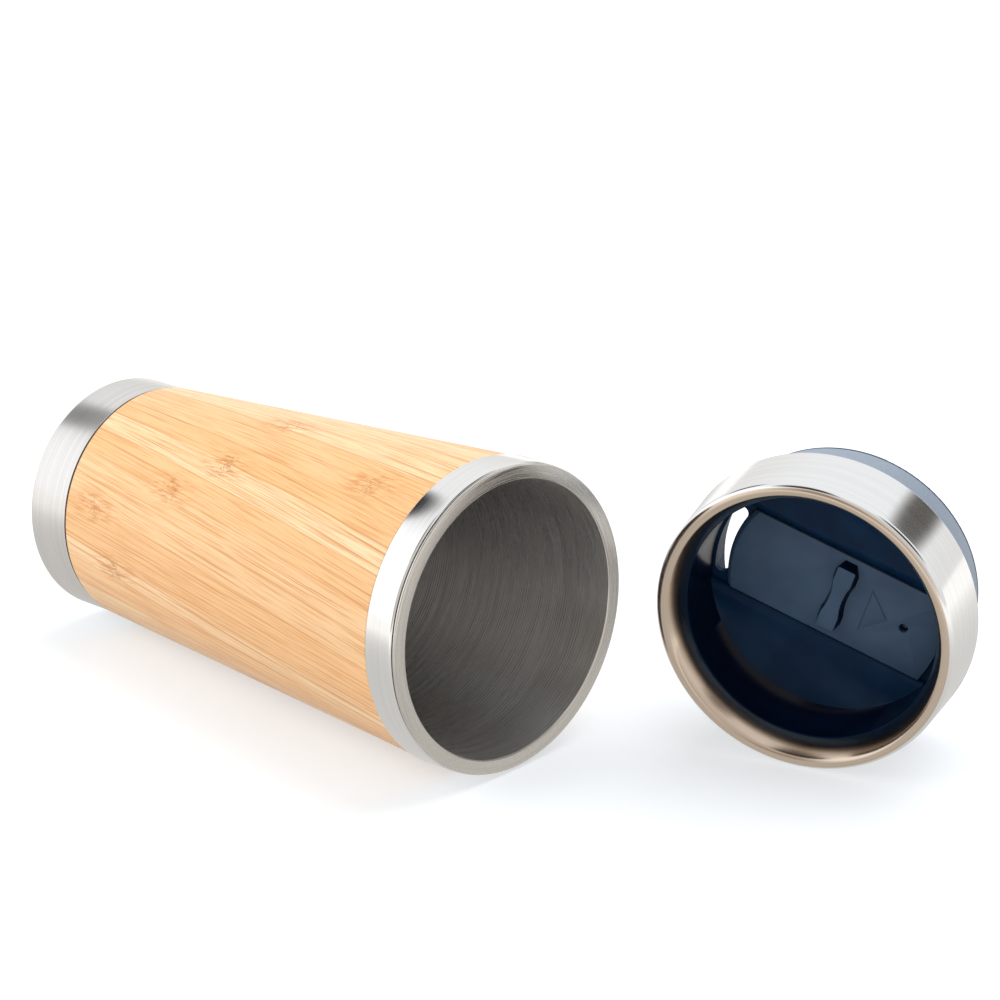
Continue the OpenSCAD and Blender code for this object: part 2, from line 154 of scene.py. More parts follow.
@dataclass(frozen=True)
class Placement:
    """Where an upright sub-assembly lies in the CAD model's frame, origin in metres."""

    origin: Vector
    across: Vector
    along: Vector

    def rotation(self) -> Matrix:
        """Turn from the upright frame into the CAD model's frame."""
        side = self.along.cross(self.across).normalized()
        return Matrix((self.across, side, self.along)).transposed()

    def matrix(self) -> Matrix:
        """Takes upright millimetres to the CAD model's metres."""
        return Matrix.Translation(self.origin) @ self.rotation().to_4x4() @ Matrix.Scale(MM, 4)

    def coordinates(self, tree: NodeTree) -> Node:
        """Upright millimetres of the point being shaded, from Object coordinates.

        Args:
            tree: Node tree of the material.

        Returns:
            The Mapping node that turns the coordinates upright.
        """
        back = self.rotation().transposed()
        return add(
            tree,
            "ShaderNodeMapping",
            {
                "Vector": add(tree, "ShaderNodeTexCoord").outputs["Object"],
                "Location": -(back @ self.origin) / MM,
                "Rotation": back.to_euler("XYZ"),
                "Scale": (1 / MM, 1 / MM, 1 / MM),
            },
        )

    def laid(self, tree: NodeTree, direction: Node) -> Node:
        """Turns an upright direction into the CAD model's frame inside a material.

        Args:
            tree: Node tree of the material.
            direction: Node that gives the direction in the upright frame.

        Returns:
            The Mapping node that turns it.
        """
        return add(
            tree,
            "ShaderNodeMapping",
            {"Vector": direction, "Rotation": self.rotation().to_euler("XYZ")},
            vector_type="VECTOR",
        )


@dataclass(frozen=True)
class Zone:
    """A ring-shaped zone round the axis of a sub-assembly, in millimetres."""

    r_low: float
    r_high: float
    z_low: float
    z_high: float

    def holds(self, r: float, z: float) -> bool:
        """Whether a point at this radius and height lies in the zone."""
        return self.r_low <= r <= self.r_high and self.z_low <= z <= self.z_high


@dataclass(frozen=True)
class Corner:
    """One corner of a turned outline, with the radius that rounds it."""

    r: float
    z: float
    rounding: float = 0.0


class Finish:
    """A named surface finish that builds its material once for each place it is used in."""

    name: str = ""
    _made: dict[tuple[str, str], Material] = {}

    def material(self, place: Placement, assembly: str) -> Material:
        """Builds or reuses the finish for one sub-assembly.

        Args:
            place: Placement whose axis the pattern follows.
            assembly: Name of the sub-assembly, which tells two placements apart.

        Returns:
            The finished material.
        """
        key = (self.name, assembly)
        if key not in self._made:
            made = bpy.data.materials.new(f"{self.name} {assembly}")
            made.use_nodes = True
            tree = made.node_tree
            tree.nodes.clear()
            shader = add(tree, "ShaderNodeBsdfPrincipled")
            add(tree, "ShaderNodeOutputMaterial", {"Surface": shader})
            self.dress(tree, shader, place)
            self._made[key] = made
        return self._made[key]

    def dress(self, tree: NodeTree, shader: Node, place: Placement) -> None:
        """Adds the finish's own nodes.

        Args:
            tree: Node tree of the material.
            shader: Its Principled shader.
            place: Placement whose axis the pattern follows.
        """
        raise NotImplementedError


@dataclass(frozen=True)
class TurnedSteel(Finish):
    """Stainless steel brushed on a lathe, so that its lines run round the axis.

    To the eye: soft streaks across the lines, a bright and a dark side, no mirror image. The real lines
    are finer than a tenth of a millimetre and are drawn as coarse as they need to show.
    """

    name: str = "Brushed stainless steel"
    colour: str = "#C9C6C1"
    shade: str = "#A9A5A0"
    roughness: float = 0.3
    roughness_swing: float = 0.08
    anisotropy: float = 0.75
    line_mm: float = 0.22
    stroke_mm: float = 14.0
    skew_share: float = 0.05
    depth: float = 0.02
    detail: float = 3.0
    line_fade: Fade = Fade(0.75, 1.25)

    def dress(self, tree: NodeTree, shader: Node, place: Placement) -> None:
        """Adds fine lines in colour, roughness and bump, and the direction of the brushing.

        Args:
            tree: Node tree of the material.
            shader: Its Principled shader.
            place: Placement whose axis the pattern follows.
        """
        x, y, z = add(tree, "ShaderNodeSeparateXYZ", {0: place.coordinates(tree)}).outputs
        back = add(tree, "ShaderNodeMath", {0: y, 1: -1.0}, operation="MULTIPLY")
        turned = add(tree, "ShaderNodeCombineXYZ", {0: back, 1: x})
        normal = add(tree, "ShaderNodeNewGeometry").outputs["Normal"]
        lathe = {0: normal, 1: place.laid(tree, turned)}
        brushing = add(tree, "ShaderNodeVectorMath", lathe, operation="CROSS_PRODUCT")
        flat = add(tree, "ShaderNodeCombineXYZ", {0: x, 1: y})
        radius = add(tree, "ShaderNodeVectorMath", {0: flat}, operation="LENGTH")
        across = add(tree, "ShaderNodeMath", {0: z, 1: radius}, operation="ADD")
        size = (self.stroke_mm, self.stroke_mm, self.line_mm)
        strokes = []
        for sign in (1, -1):
            skew = {0: x, 1: sign * self.skew_share, 2: across}
            skewed = add(tree, "ShaderNodeMath", skew, operation="MULTIPLY_ADD")
            where = add(tree, "ShaderNodeCombineXYZ", {0: x, 1: y, 2: skewed})
            vector = add(tree, "ShaderNodeVectorMath", {0: where, 1: size}, operation="DIVIDE")
            noise = {"Vector": vector, "Scale": 1.0, "Detail": self.detail}
            strokes.append(add(tree, "ShaderNodeTexNoise", noise))
        both = add(tree, "ShaderNodeMath", dict(enumerate(strokes)), operation="ADD")
        lines = add(tree, "ShaderNodeMapRange", self.line_fade.over(both), **SMOOTH)
        tone = blend(lines, linear(self.shade), linear(self.colour))
        low, high = self.roughness - self.roughness_swing, self.roughness + self.roughness_swing
        bump = {"Height": lines, "Strength": 1.0, "Distance": self.depth * MM}
        surface = {
            "Base Color": add(tree, "ShaderNodeMix", tone, data_type="RGBA"),
            "Roughness": add(tree, "ShaderNodeMapRange", Fade(0.0, 1.0, high, low).over(lines), **SMOOTH),
            "Metallic": 1.0,
            "Anisotropic": self.anisotropy,
            "Tangent": brushing,
            "Normal": add(tree, "ShaderNodeBump", bump),
        }
        feed(tree, shader, surface)


@dataclass(frozen=True)
class Grain:
    """Noise drawn out along the cane: width and length of a streak, and octaves of the noise."""

    width_mm: float
    length_mm: float
    detail: float

    def of(self, tree: NodeTree, where: Node) -> Node:
        """Adds the noise.

        Args:
            tree: Node tree of the material.
            where: Millimetres round the sleeve and along it, and a value that differs from strip to strip.

        Returns:
            The Noise node, whose value is about 0.5 in the middle.
        """
        size = (self.width_mm, self.length_mm, 1.0)
        vector = add(tree, "ShaderNodeVectorMath", {0: where, 1: size}, operation="DIVIDE")
        return add(tree, "ShaderNodeTexNoise", {"Vector": vector, "Scale": 1.0, "Detail": self.detail})


@dataclass(frozen=True)
class LaminatedBamboo(Finish):
    """Bamboo strips glued side by side, turned to a cone, sanded and lacquered satin.

    To the eye: pale gold strips of slightly different tone, fine brown fibres along them, and here and
    there the broken squiggle of a knuckle where the cane had a joint.
    """

    name: str = "Satin lacquered bamboo"
    pale: str = "#FADAAE"
    gold: str = "#F0BC82"
    rust: str = "#CB8038"
    knot: str = "#A4602A"
    mean_radius_mm: float = 39.0
    strips: float = 34.0
    streak: Grain = Grain(1.0, 50.0, 2.0)
    fibre: Grain = Grain(0.26, 20.0, 3.0)
    hair: Grain = Grain(0.32, 60.0, 1.0)
    slant: float = 0.136
    # A dark brown line drawn round the sleeve just above its foot, where it meets the steel band.
    foot_line: str = "#3F2716"
    foot_line_z_mm: float = 16.8
    foot_line_mm: float = 0.55
    strip_randomness: float = 0.7
    strip_skew: float = 0.03
    strip_seeds: float = 90.0
    tone_fade: Fade = Fade(0.2, 0.8, 0.1, 0.85)
    streak_fade: Fade = Fade(0.4, 0.62, 0.0, 0.45)
    fibre_fade: Fade = Fade(0.48, 0.66, 0.0, 0.55)
    hair_fade: Fade = Fade(0.6, 0.68, 0.0, 0.7)
    seam_fade: Fade = Fade(0.035, 0.0, 0.0, 0.5)
    satin: Fade = Fade(0.2, 0.8, 0.36, 0.5)
    coat: float = 0.15
    coat_roughness: float = 0.3
    depth: float = 0.02
    knuckles: tuple[tuple[float, float], ...] = ()
    mark_mm: tuple[float, float] = (6.0, 4.5)
    mark_fade: Fade = Fade(1.0, 0.3, 0.0, 0.75)
    squiggle_mm: float = 2.7778
    squiggle_detail: float = 2.0
    squiggle_twist: float = 2.2
    squiggle_fade: Fade = Fade(0.045, 0.0)
    cloud_mm: tuple[float, float] = (7.5, 16.0)
    cloud_fade: Fade = Fade(1.0, 0.2, 0.0, 0.75)
    fleck: Grain = Grain(0.7143, 6.4286, 2.0)
    fleck_fade: Fade = Fade(0.45, 0.65)

    def dress(self, tree: NodeTree, shader: Node, place: Placement) -> None:
        """Adds strips, streaks, fibres and knuckles, and a satin lacquer.

        Args:
            tree: Node tree of the material.
            shader: Its Principled shader.
            place: Placement whose axis the pattern follows.
        """
        x, y, z = add(tree, "ShaderNodeSeparateXYZ", {0: place.coordinates(tree)}).outputs
        angle = add(tree, "ShaderNodeMath", {0: y, 1: x}, operation="ARCTAN2")
        arc = add(tree, "ShaderNodeMath", {0: angle, 1: self.mean_radius_mm}, operation="MULTIPLY")
        laid = add(tree, "ShaderNodeMath", {0: z, 1: -self.slant, 2: arc}, operation="MULTIPLY_ADD")
        strip_mm = math.tau * self.mean_radius_mm / self.strips
        strip = add(tree, "ShaderNodeMath", {0: laid, 1: strip_mm}, operation="DIVIDE")
        cell, edge = (
            add(
                tree,
                "ShaderNodeTexVoronoi",
                {"W": strip, "Scale": 1.0, "Randomness": self.strip_randomness},
                voronoi_dimensions="1D",
                feature=feature,
            )
            for feature in ("F1", "DISTANCE_TO_EDGE")
        )
        turn, number, tone = add(tree, "ShaderNodeSeparateColor", {0: cell.outputs["Color"]}).outputs
        side = add(tree, "ShaderNodeMath", {0: turn, 1: 0.5}, operation="SUBTRACT")
        lean = add(tree, "ShaderNodeMath", {0: z, 1: self.strip_skew}, operation="MULTIPLY")
        skew = add(tree, "ShaderNodeMath", {0: side, 1: lean}, operation="MULTIPLY")
        run = add(tree, "ShaderNodeMath", {0: laid, 1: skew}, operation="ADD")
        seed = add(tree, "ShaderNodeMath", {0: number, 1: self.strip_seeds}, operation="MULTIPLY")
        where = add(tree, "ShaderNodeCombineXYZ", {0: run, 1: z, 2: seed})
        streaks, fibres, hairs = (grain.of(tree, where) for grain in (self.streak, self.fibre, self.hair))
        mark, cloud = self.knuckle_marks(tree, add(tree, "ShaderNodeCombineXYZ", {0: arc, 1: z}))
        # Darkens the sleeve to a brown line just above its foot.
        foot_line_fade = Fade(self.foot_line_z_mm + self.foot_line_mm, self.foot_line_z_mm + self.foot_line_mm / 2)
        patterns = (
            (self.tone_fade, tone, self.gold),
            (self.streak_fade, streaks, self.gold),
            (self.fibre_fade, fibres, self.rust),
            (self.hair_fade, hairs, self.rust),
            (self.seam_fade, edge.outputs["Distance"], self.rust),
            (foot_line_fade, z, self.foot_line),
        )
        *layers, foot_line = (
            (add(tree, "ShaderNodeMapRange", fade.over(pattern), **SMOOTH), colour)
            for fade, pattern, colour in patterns
        )
        base = linear(self.pale)
        for share, colour in (*layers, (cloud, self.rust), (mark, self.knot), foot_line):
            base = add(tree, "ShaderNodeMix", blend(share, base, linear(colour)), data_type="RGBA")
        bump = {"Height": fibres, "Strength": 1.0, "Distance": self.depth * MM}
        surface = {
            "Base Color": base,
            "Roughness": add(tree, "ShaderNodeMapRange", self.satin.over(fibres), **SMOOTH),
            "Coat Weight": self.coat,
            "Coat Roughness": self.coat_roughness,
            "Normal": add(tree, "ShaderNodeBump", bump),
        }
        feed(tree, shader, surface)

    def knuckle_marks(self, tree: NodeTree, plane: Node) -> tuple[Node, Node]:
        """Squiggles and darker flecks where the cane had its joints.

        Args:
            tree: Node tree of the material.
            plane: Millimetres round the sleeve and along it.

        Returns:
            Shares of the squiggles and of the darker cloud round them.
        """
        curl = {
            "Vector": plane,
            "Scale": 1 / self.squiggle_mm,
            "Detail": self.squiggle_detail,
            "Distortion": self.squiggle_twist,
        }
        wriggle = add(tree, "ShaderNodeTexNoise", curl)
        level = add(tree, "ShaderNodeMath", {0: wriggle, 1: 0.5}, operation="SUBTRACT")
        ridge = add(tree, "ShaderNodeMath", {0: level}, operation="ABSOLUTE")
        line = add(tree, "ShaderNodeMapRange", self.squiggle_fade.over(ridge), **SMOOTH)
        near = self.near_knuckles(tree, plane, self.mark_mm, self.mark_fade)
        mark = add(tree, "ShaderNodeMath", {0: line, 1: near}, operation="MULTIPLY")
        specks = self.fleck.of(tree, plane)
        flecks = add(tree, "ShaderNodeMapRange", self.fleck_fade.over(specks), **SMOOTH)
        around = self.near_knuckles(tree, plane, self.cloud_mm, self.cloud_fade)
        cloud = add(tree, "ShaderNodeMath", {0: flecks, 1: around}, operation="MULTIPLY")
        return mark, cloud

    def near_knuckles(
        self, tree: NodeTree, plane: Node, size_mm: tuple[float, float], reach_fade: Fade
    ) -> Node:
        """Tells how near the closest knuckle is.

        Args:
            tree: Node tree of the material.
            plane: Millimetres round the sleeve and along it.
            size_mm: How far a mark reaches round the sleeve and along it.
            reach_fade: Share over the distance from a knuckle, where one is the mark's edge.

        Returns:
            The share of the closest knuckle.
        """
        share: float | Node = 0.0
        for degrees, z in self.knuckles:
            middle = (math.radians(degrees) * self.mean_radius_mm, z, 0.0)
            away = add(tree, "ShaderNodeVectorMath", {0: plane, 1: middle}, operation="SUBTRACT")
            scaled = add(tree, "ShaderNodeVectorMath", {0: away, 1: (*size_mm, 1.0)}, operation="DIVIDE")
            reach = add(tree, "ShaderNodeVectorMath", {0: scaled}, operation="LENGTH")
            near = add(tree, "ShaderNodeMapRange", reach_fade.over(reach), **SMOOTH)
            share = add(tree, "ShaderNodeMath", {0: share, 1: near}, operation="MAXIMUM")
        return share


@dataclass(frozen=True)
class MouldedPlastic(Finish):
    """Polypropylene moulded in a finely eroded tool.

    To the eye: near black with a blue cast, a soft satin shine and an even fine grain. The tool's grain
    is finer than a tenth of a millimetre and is drawn as coarse as it needs to show.
    """

    name: str = "Moulded black polypropylene"
    colour: str = "#0A2643"
    dust: str = "#10304E"
    roughness: float = 0.34
    specular: float = 0.1
    grain_mm: float = 0.25
    flow_mm: float = 12.5
    flow_fade: Fade = Fade(0.3, 0.7)
    shine_limits: tuple[float, float] = (0.3, 0.7)
    roughness_drop: float = 0.03
    roughness_rise: float = 0.05
    depth: float = 0.01

    def dress(self, tree: NodeTree, shader: Node, place: Placement) -> None:
        """Adds the mould's grain, slight flow marks and the satin shine.

        Args:
            tree: Node tree of the material.
            shader: Its Principled shader.
            place: Placement whose axis the pattern follows.
        """
        position = place.coordinates(tree)
        grain, flow = (
            add(tree, "ShaderNodeTexNoise", {"Vector": position, "Scale": 1 / size_mm})
            for size_mm in (self.grain_mm, self.flow_mm)
        )
        share = add(tree, "ShaderNodeMapRange", self.flow_fade.over(flow), **SMOOTH)
        tone = blend(share, linear(self.colour), linear(self.dust))
        low, high = self.roughness - self.roughness_drop, self.roughness + self.roughness_rise
        shine = Fade(*self.shine_limits, low, high)
        bump = {"Height": grain, "Strength": 1.0, "Distance": self.depth * MM}
        surface = {
            "Base Color": add(tree, "ShaderNodeMix", tone, data_type="RGBA"),
            "Roughness": add(tree, "ShaderNodeMapRange", shine.over(grain), **SMOOTH),
            "Specular IOR Level": self.specular,
            "Normal": add(tree, "ShaderNodeBump", bump),
        }
        feed(tree, shader, surface)


@dataclass(frozen=True)
class MattSpeckled(Finish):
    """Any dull hidden material: silicone, pressed powder or fused glass, with a fine speckle.

    To the eye: no shine to speak of, and a slightly uneven tone. The speckle is drawn as coarse as it
    needs to show.
    """

    name: str = "Matt silicone"
    colour: str = "#17181A"
    speckle: str = "#24262A"
    roughness: float = 0.6
    metallic: float = 0.0
    speckle_mm: float = 0.4
    speckle_detail: float = 3.0
    speckle_fade: Fade = Fade(0.35, 0.65)
    shine_limits: tuple[float, float] = (0.2, 0.8)
    roughness_swing: float = 0.05

    def dress(self, tree: NodeTree, shader: Node, place: Placement) -> None:
        """Adds the speckle in colour and roughness.

        Args:
            tree: Node tree of the material.
            shader: Its Principled shader.
            place: Placement whose axis the pattern follows.
        """
        grit = {
            "Vector": place.coordinates(tree),
            "Scale": 1 / self.speckle_mm,
            "Detail": self.speckle_detail,
        }
        speckle = add(tree, "ShaderNodeTexNoise", grit)
        share = add(tree, "ShaderNodeMapRange", self.speckle_fade.over(speckle), **SMOOTH)
        tone = blend(share, linear(self.colour), linear(self.speckle))
        low, high = self.roughness - self.roughness_swing, self.roughness + self.roughness_swing
        shine = Fade(*self.shine_limits, low, high)
        surface = {
            "Base Color": add(tree, "ShaderNodeMix", tone, data_type="RGBA"),
            "Roughness": add(tree, "ShaderNodeMapRange", shine.over(speckle), **SMOOTH),
            "Metallic": self.metallic,
        }
        feed(tree, shader, surface)


class Steel(Enum):
    """Finishes of the steel pieces."""

    LINER = TurnedSteel(
        name="Brushed steel inside", colour="#FBFAF9", shade="#B4B2B0", line_mm=0.26, stroke_mm=22.0,
        skew_share=0.012, roughness=0.37, anisotropy=0.85, depth=0.004,
    )
    LIP = TurnedSteel(
        name="Satin steel lip", colour="#DEDBD5", shade="#D0CCC6", roughness=0.3, anisotropy=0.5,
        stroke_mm=40.0, depth=0.003,
    )
    BAND = TurnedSteel(
        name="Brushed steel band", colour="#E2E1E0", shade="#DDDCDA", roughness=0.25, roughness_swing=0.01,
        skew_share=0.002, line_mm=0.6, stroke_mm=90.0, depth=0.0004,
    )
    SHELL = TurnedSteel(name="Plain drawn steel", roughness=0.4, anisotropy=0.2)
    COLLAR = TurnedSteel(
        name="Polished steel collar", colour="#ECECEC", shade="#E8E8E7", roughness=0.12,
        roughness_swing=0.01, anisotropy=0.5, skew_share=0.004, line_mm=0.6, stroke_mm=60.0, depth=0.0003,
    )
    RING = TurnedSteel(
        name="Polished steel ring", colour="#EDEEEF", shade="#E8E9EA", roughness=0.12,
        roughness_swing=0.01, anisotropy=0.4, skew_share=0.004, line_mm=0.6, stroke_mm=60.0, depth=0.0003,
    )
    # The ring's own steel, tinted beige: the beige is a painted warm reflection of the room in front; a little
    # more roughness makes the funnel satin.
    FUNNEL_PAINTED_REFLECTION = TurnedSteel(
        name="Satin steel funnel", colour="#D6C6B6", shade="#CEBEAD", roughness=0.18,
        roughness_swing=0.02, anisotropy=0.6, skew_share=0.004, stroke_mm=60.0, depth=0.002,
    )


class Dull(Enum):
    """Finishes of the small soft and hidden pieces."""

    BLACK = MattSpeckled()
    BROWN = MattSpeckled(name="Brown sealing compound", colour="#3A2417", speckle="#4A3122")
    GREY = MattSpeckled(
        name="Blue grey silicone gasket", colour="#8592A2", speckle="#8E9BAA", roughness=0.4,
    )
    POWDER = MattSpeckled(name="Pressed metal powder", colour="#6E6E72", speckle="#8A8A8E", metallic=0.8)
    BEAD = MattSpeckled(name="Fused glass bead", colour="#3C403C", speckle="#4A504A", roughness=0.2)


BAMBOO = LaminatedBamboo(
    knuckles=(
        (8.1, 60.2), (25.9, 30.3), (52.2, 39.1), (-9.6, 76.5), (-18.2, 132.2), (-40.6, 81.8),
        (95.0, 88.0), (155.0, 60.0), (-150.0, 120.0), (-95.0, 45.0),
    ),
)
PLASTIC = MouldedPlastic()
# The same plastic, darker: its darker colour is painted shade on the well's wall and the tab's sides; its lower
# roughness gives them a glossier shine.
GLOSSY_PAINTED_SHADE = MouldedPlastic(
    name="Polished black polypropylene", colour="#030C1E", dust="#05112A", roughness=0.22,
    specular=0.2, depth=0.003,
)
# The same plastic as the well, drawn much lighter and bluer: its lighter colour is painted sheen from the light
# above; its higher roughness spreads its shine.
HATCH_PAINTED_SHEEN = MouldedPlastic(
    name="Eroded black polypropylene", colour="#384F69", dust="#405872", roughness=0.5,
    specular=0.35, depth=0.015,
)


@dataclass
class Assembly:
    """A sub-assembly with its place, its body and the way its pieces are made."""

    place: Placement
    body: str

    def turned(self, name: str, corners: Sequence[Corner], closed: bool = True) -> Object:
        """Turns an outline round the axis.

        Args:
            name: Name of the new piece.
            corners: Outline in the order it is walked, counter-clockwise.
            closed: Whether the last corner joins the first; an outline that ends on the axis stays open.

        Returns:
            The finished piece in the CAD model's frame.
        """
        bm = bmesh.new()
        points = [bm.verts.new((c.r, 0.0, c.z)) for c in corners]
        pairs = list(zip(points, points[1:])) + ([(points[-1], points[0])] if closed else [])
        for pair in pairs:
            bm.edges.new(pair)
        for point, corner in zip(points, corners):
            if corner.rounding:
                self.round_corner(bm, point, corner.rounding)
        bmesh.ops.spin(
            bm,
            geom=bm.verts[:] + bm.edges[:],
            cent=(0, 0, 0),
            axis=(0, 0, 1),
            angle=math.tau,
            steps=TURN_STEPS,
            use_merge=True,
            use_duplicate=False,
        )
        return self.piece(name, bm)

    @staticmethod
    def round_corner(bm: bmesh.types.BMesh, point: bmesh.types.BMVert, rounding: float) -> None:
        """Rounds one corner of an outline with an arc.

        Args:
            bm: Mesh that holds the outline.
            point: Corner to round.
            rounding: Radius of the arc in millimetres.
        """
        arms = [(edge.other_vert(point).co - point.co).normalized() for edge in point.link_edges]
        opening = arms[0].angle(arms[1])
        turn = math.pi - opening
        reach = rounding * math.tan(turn / 2)
        bmesh.ops.bevel(
            bm,
            geom=[point],
            offset=reach,
            offset_type="OFFSET",
            affect="VERTICES",
            segments=max(2, round(math.degrees(turn) / ARC_STEP_DEGREES)),
            profile=0.5,
            material=-1,
        )

    def moulding(self, name: str, node: str, edge_mm: float) -> Object:
        """Makes a moulded piece with softened edges from the shape of a CAD node.

        Args:
            name: Name of the new piece.
            node: CAD node whose shape it takes.
            edge_mm: Width of the softened edges.

        Returns:
            The finished piece in the CAD model's frame.
        """
        bm = bmesh.new()
        bm.from_mesh(frame["nodes"][node].data)
        bmesh.ops.transform(bm, matrix=self.place.matrix().inverted(), verts=bm.verts[:])
        bmesh.ops.remove_doubles(bm, verts=bm.verts[:], dist=MERGE_MM)
        bmesh.ops.dissolve_limit(
            bm, angle_limit=FLAT_EDGE, verts=bm.verts[:], edges=bm.edges[:], delimit=set()
        )
        sharp = [e for e in bm.edges if len(e.link_faces) == 2 and e.calc_face_angle(0) > SHARP_EDGE]
        bmesh.ops.bevel(
            bm,
            geom=sharp,
            offset=edge_mm,
            offset_type="OFFSET",
            affect="EDGES",
            segments=2,
            profile=0.5,
            material=-1,
            clamp_overlap=True,
        )
        return self.piece(name, bm)

    def piece(self, name: str, bm: bmesh.types.BMesh) -> Object:
        """Cleans a mesh, lays it into the CAD model's frame and makes it ride on the body.

        Args:
            name: Name of the new piece.
            bm: Mesh in upright millimetres, which is used up.

        Returns:
            The new piece.
        """
        bmesh.ops.remove_doubles(bm, verts=bm.verts[:], dist=WELD_MM)
        bmesh.ops.recalc_face_normals(bm, faces=bm.faces[:])
        bmesh.ops.transform(bm, matrix=self.place.matrix(), verts=bm.verts[:])
        mesh = bpy.data.meshes.new(name)
        bm.to_mesh(mesh)
        bm.free()
        mesh.shade_smooth()
        mesh.set_sharp_from_angle(angle=SHARP_EDGE)
        made = bpy.data.objects.new(name, mesh)
        bpy.context.scene.collection.objects.link(made)
        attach(made, self.body)
        log.info("%s: %d faces", name, len(mesh.polygons))
        return made

    def dress(self, piece: Object, finish: Finish, slot: str, *nodes: str) -> None:
        """Gives a piece its finish and hides the CAD nodes that it stands for.

        Args:
            piece: Piece to dress.
            finish: Its surface finish.
            slot: Material slot in the record; not used.
            *nodes: CAD nodes that it replaces.
        """
        piece.data.materials.clear()
        piece.data.materials.append(finish.material(self.place, self.body))
        if nodes:
            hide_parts(*nodes)

    def dress_node(self, node: str, finish: Finish) -> None:
        """Gives a CAD node that stays as it is its finish.

        Args:
            node: CAD node to dress.
            finish: Its surface finish.
        """
        shown = frame["nodes"][node]
        shown.data.materials.clear()
        shown.data.materials.append(finish.material(self.place, self.body))
        log.info("%s: CAD node dressed as %s", node, finish.name)

    def dress_where(self, piece: Object, finish: Finish, inside: Zone) -> None:
        """Gives the faces inside a zone a second finish.

        Args:
            piece: Piece that already has its main finish.
            finish: Finish for the faces in the zone.
            inside: Zone in upright millimetres.
        """
        piece.data.materials.append(finish.material(self.place, self.body))
        upright = self.place.matrix().inverted()
        for face in piece.data.polygons:
            middle = upright @ face.center
            if inside.holds(math.hypot(middle.x, middle.y), middle.z):
                face.material_index = len(piece.data.materials) - 1


def placement_from(round_mount: str, flat_mount: str, across: Vector, flip: bool) -> Placement:
    """Finds a sub-assembly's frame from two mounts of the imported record.

    Args:
        round_mount: Name of a mount whose axis is the sub-assembly's.
        flat_mount: Name of a flat mount at the upright frame's height zero.
        across: Direction of the upright frame's X axis, roughly.
        flip: Whether the round mount's axis points down in the upright frame.

    Returns:
        The placement of the sub-assembly.
    """
    mounts = {mount["name"]: mount for mount in frame["record"]["mounts"]}
    along = Vector(mounts[round_mount]["axis"]).normalized() * (-1 if flip else 1)
    start = Vector(mounts[round_mount]["pos_m"])
    rise = along.dot(Vector(mounts[flat_mount]["pos_m"]) - start)
    level = (across - along * across.dot(along)).normalized()
    return Placement(start + along * rise, level, along)


